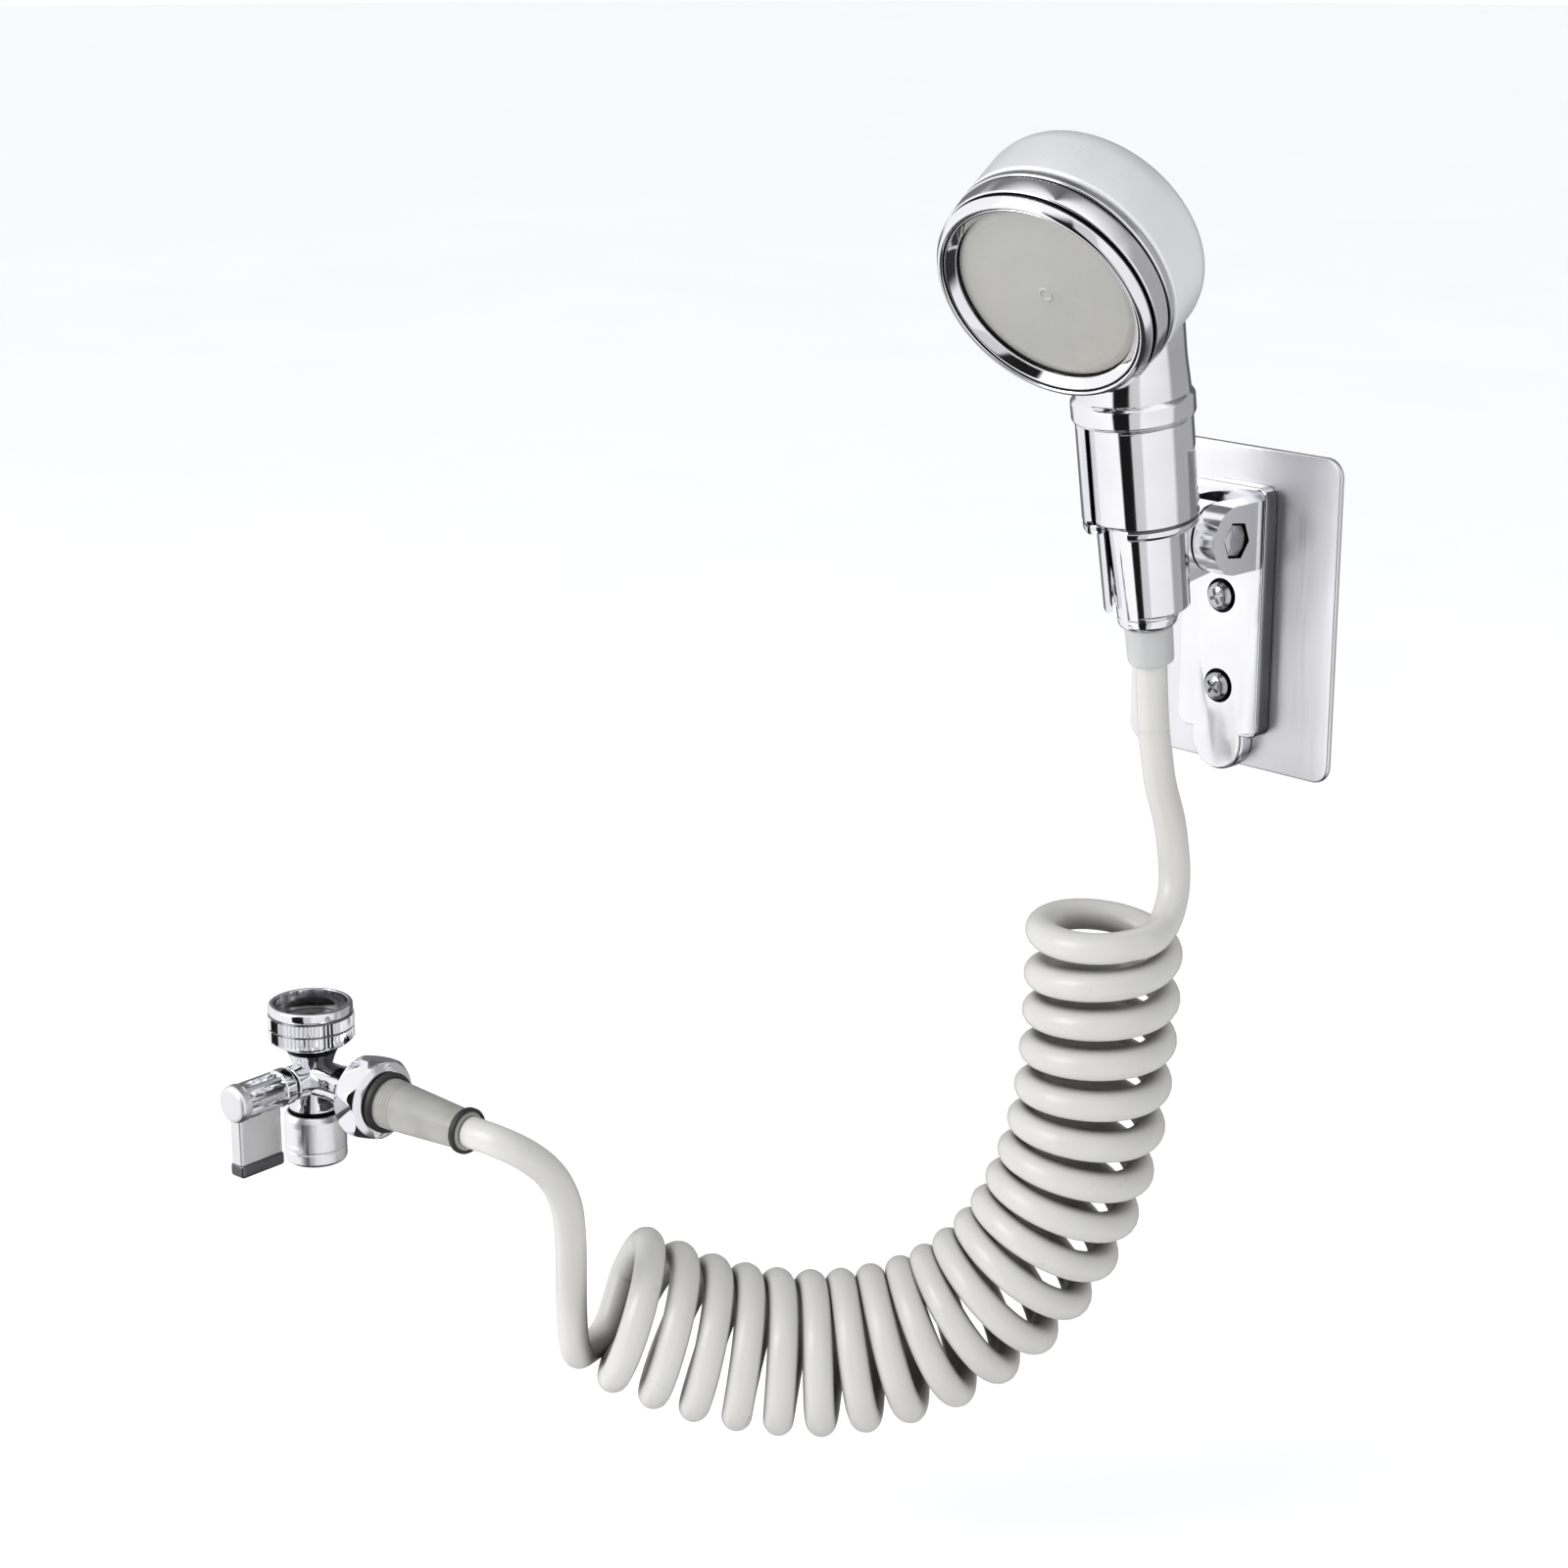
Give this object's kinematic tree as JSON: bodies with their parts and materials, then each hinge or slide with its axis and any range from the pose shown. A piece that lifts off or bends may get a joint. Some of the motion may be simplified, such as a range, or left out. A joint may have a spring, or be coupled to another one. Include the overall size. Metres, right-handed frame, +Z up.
{
  "type": "handheld bath sprayer set",
  "caption": "Chrome hand sprayer in a tilting wall bracket, with a coiled hose to a tap-mounted diverter valve with a lever.",
  "frame": {"origin": "centre of the adhesive pad's back face, on the wall", "axes": "+Y into the wall, +Z up, -Y out into the room, +X to the right when facing the wall"},
  "size_m": [0.2188, 0.2463, 0.3924],
  "materials": {
    "foam": "closed-cell foam tape",
    "satin_metal": "satin",
    "chrome_plate": "chrome plated",
    "chrome_screw": "polished",
    "chrome_metal": "polished",
    "satin_chrome": "satin",
    "spray_plate_satin": "satin",
    "white_plastic": "moulded",
    "grey_plastic": "moulded",
    "hose_white": "soft gloss",
    "sleeve_cream": "moulded",
    "black_rubber": "matt",
    "brass": "turned"
  },
  "bodies": {
    "root": {"adhesive_pad": "foam", "wall_plate": "satin_metal", "holder_base": "chrome_plate", "base_screw_upper": "chrome_screw", "base_screw_lower": "chrome_screw", "pivot_bolt": "chrome_screw", "pivot_nut": "chrome_screw", "valve_body": "chrome_metal", "inlet_washer": "black_rubber", "stem_seal": "black_rubber", "gland_nut": "chrome_metal", "aerator_housing": "satin_chrome", "aerator_insert": "grey_plastic", "tail_washer": "black_rubber", "tail_fitting": "brass", "tail_sleeve": "sleeve_cream", "sleeve_ring_front": "black_rubber", "sleeve_ring_back": "black_rubber", "hose_drop": "hose_white", "hose_coil": "hose_white", "hose_tail": "hose_white"},
    "jaw": {"holder_jaw": "chrome_plate"},
    "hose_end": {"hose_nut": "chrome_metal", "hose_washer": "black_rubber", "hose_fitting": "brass", "hose_ferrule": "grey_plastic", "hose_lead": "hose_white"},
    "sprayer": {"rear_shell": "chrome_plate", "handle_sleeve": "chrome_plate", "flow_disc": "white_plastic", "face_seal": "black_rubber", "spray_plate": "spray_plate_satin"},
    "bezel": {"bezel_ring": "chrome_plate"},
    "lever_arm": {"lever": "satin_chrome", "lever_stem": "brass", "valve_ball": "brass"},
    "inlet_swivel": {"inlet_nut": "chrome_metal"},
    "tail_swivel": {"tail_nut": "chrome_metal"}
  },
  "joints": [
    {"name": "jaw_tilt", "type": "hinge", "parent": "root", "child": "jaw", "pos_m": [0, -0.0186, 0.0234], "axis": [1, 0, 0], "range_deg": [-8, 20]},
    {"name": "sprayer_lift", "type": "slide", "parent": "jaw", "child": "hose_end", "axis": [0, -0.1502, 0.9887], "range_m": [0, 0.04]},
    {"name": "sprayer_turn", "type": "hinge", "parent": "hose_end", "child": "sprayer", "pos_m": [0, -0.04312, 0.01968], "axis": [0, -0.1502, 0.9887], "range_deg": [-75, 75]},
    {"name": "bezel_unscrew", "type": "hinge", "parent": "sprayer", "child": "bezel", "pos_m": [0.00135, -0.06804, 0.1144], "axis": [0.1193, -0.8519, -0.5099], "continuous": true},
    {"name": "lever_turn", "type": "hinge", "parent": "root", "child": "lever_arm", "pos_m": [-0.1692, -0.2144, -0.1368], "axis": [-0.0872, 0.9962, 0], "range_deg": [0, 90]},
    {"name": "inlet_nut_turn", "type": "hinge", "parent": "root", "child": "inlet_swivel", "pos_m": [-0.1692, -0.2144, -0.1368], "axis": [0, 0, 1], "continuous": true},
    {"name": "tail_nut_turn", "type": "hinge", "parent": "root", "child": "tail_swivel", "pos_m": [-0.1692, -0.2144, -0.1368], "axis": [0.9962, 0.0872, 0], "continuous": true}
  ]
}
